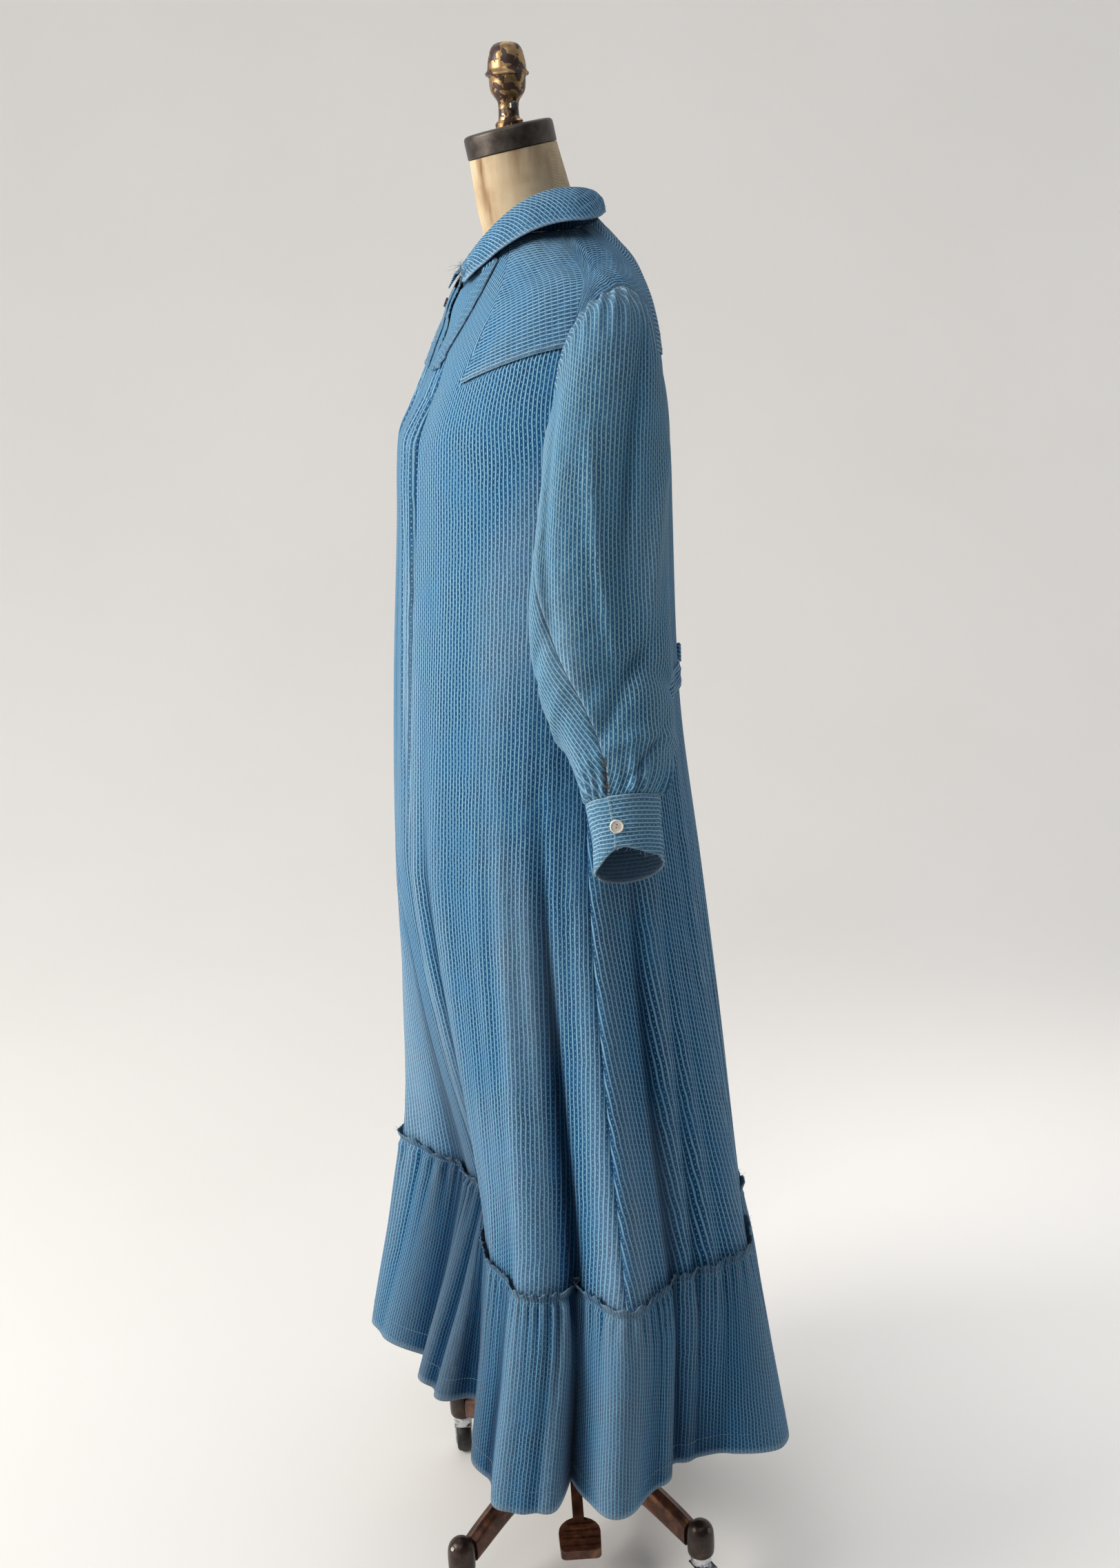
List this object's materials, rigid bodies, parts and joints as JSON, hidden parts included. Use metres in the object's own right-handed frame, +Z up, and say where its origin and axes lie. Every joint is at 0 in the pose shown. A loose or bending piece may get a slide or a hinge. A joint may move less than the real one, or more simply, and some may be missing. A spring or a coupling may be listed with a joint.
{
  "type": "work dress on a dress form",
  "caption": "Calico work dress with yoke, turned-down collar, gathered sleeves and ruffled hem, on a dress form with a wheeled cast-iron stand.",
  "frame": {"origin": "on the floor, in the middle of the part's outline seen from above; the stand's column is 2.5 mm to +X and 9.2 mm to -Y of it", "axes": "+Z up along the column, -Y to the wearer's front, +X to the wearer's left"},
  "size_m": [0.5966, 0.4613, 1.6695],
  "materials": {
    "calico": "washed indigo calico with fine light stripes and dots",
    "shell": "pale shell, polished",
    "horn": "dark horn",
    "canvas": "aged canvas over a stiff shell",
    "cap_metal": "dulled sheet steel",
    "painted_brass": "brass with chipped dark paint",
    "steel": "zinc plated",
    "iron": "brown enamel, worn",
    "chrome": "bright",
    "black_rubber": "satin"
  },
  "bodies": {
    "stand": {"hub": "iron", "column_tube": "steel", "leg_1": "iron", "leg_2": "iron", "leg_3": "iron", "leg_4": "iron", "socket_1": "iron", "socket_2": "iron", "socket_3": "iron", "socket_4": "iron"},
    "dress_form": {"form_body": "canvas", "neck_cap": "cap_metal", "finial": "painted_brass", "finial_bolt": "steel", "column_rod": "steel", "back": "calico", "front_left": "calico", "front_right": "calico", "yoke": "calico", "ruffle": "calico", "collar_stand": "calico", "collar_fall": "calico", "placket_left": "calico", "placket_right": "calico", "sleeve_left_upper": "calico", "sleeve_left_under": "calico", "sleeve_right_upper": "calico", "sleeve_right_under": "calico", "cuff_left": "calico", "cuff_right": "calico", "tie": "calico", "tie_knot": "calico", "tie_loop_left": "calico", "tie_loop_right": "calico", "tie_end_left": "calico", "tie_end_right": "calico", "cuff_button_left": "shell", "cuff_button_right": "shell", "neck_button": "horn"},
    "pedal": {"pedal": "iron"},
    "fork_1": {"fork_1": "chrome"},
    "wheel_1": {"wheel_1": "black_rubber"},
    "fork_2": {"fork_2": "chrome"},
    "wheel_2": {"wheel_2": "black_rubber"},
    "fork_3": {"fork_3": "chrome"},
    "wheel_3": {"wheel_3": "black_rubber"},
    "fork_4": {"fork_4": "chrome"},
    "wheel_4": {"wheel_4": "black_rubber"}
  },
  "joints": [
    {"name": "form_height", "type": "slide", "parent": "stand", "child": "dress_form", "axis": [0, 0, 1], "range_m": [0, 0.15]},
    {"name": "swivel_1", "type": "hinge", "parent": "stand", "child": "fork_1", "pos_m": [0.15542, 0.10772, 0.0531], "axis": [0, 0, 1], "continuous": true},
    {"name": "roll_1", "type": "hinge", "parent": "fork_1", "child": "wheel_1", "pos_m": [0.16482, 0.11114, 0.0203], "axis": [-0.342, 0.9397, 0], "continuous": true},
    {"name": "swivel_2", "type": "hinge", "parent": "stand", "child": "fork_2", "pos_m": [-0.11442, 0.14372, 0.0531], "axis": [0, 0, 1], "continuous": true},
    {"name": "roll_2", "type": "hinge", "parent": "fork_2", "child": "wheel_2", "pos_m": [-0.11183, 0.15338, 0.0203], "axis": [-0.9659, 0.2588, 0], "continuous": true},
    {"name": "swivel_3", "type": "hinge", "parent": "stand", "child": "fork_3", "pos_m": [-0.15042, -0.12612, 0.0531], "axis": [0, 0, 1], "continuous": true},
    {"name": "roll_3", "type": "hinge", "parent": "fork_3", "child": "wheel_3", "pos_m": [-0.16033, -0.12473, 0.0203], "axis": [-0.1392, -0.9903, 0], "continuous": true},
    {"name": "swivel_4", "type": "hinge", "parent": "stand", "child": "fork_4", "pos_m": [0.11942, -0.16212, 0.0531], "axis": [0, 0, 1], "continuous": true},
    {"name": "roll_4", "type": "hinge", "parent": "fork_4", "child": "wheel_4", "pos_m": [0.12927, -0.16386, 0.0203], "axis": [0.1736, 0.9848, 0], "continuous": true},
    {"name": "pedal_press", "type": "hinge", "parent": "stand", "child": "pedal", "pos_m": [0.03838, -0.01399, 0.088], "axis": [0.1323, 0.9912, 0], "range_deg": [0, 8], "stiffness_Nm_per_rad": 4, "springref_deg": -11.46}
  ]
}
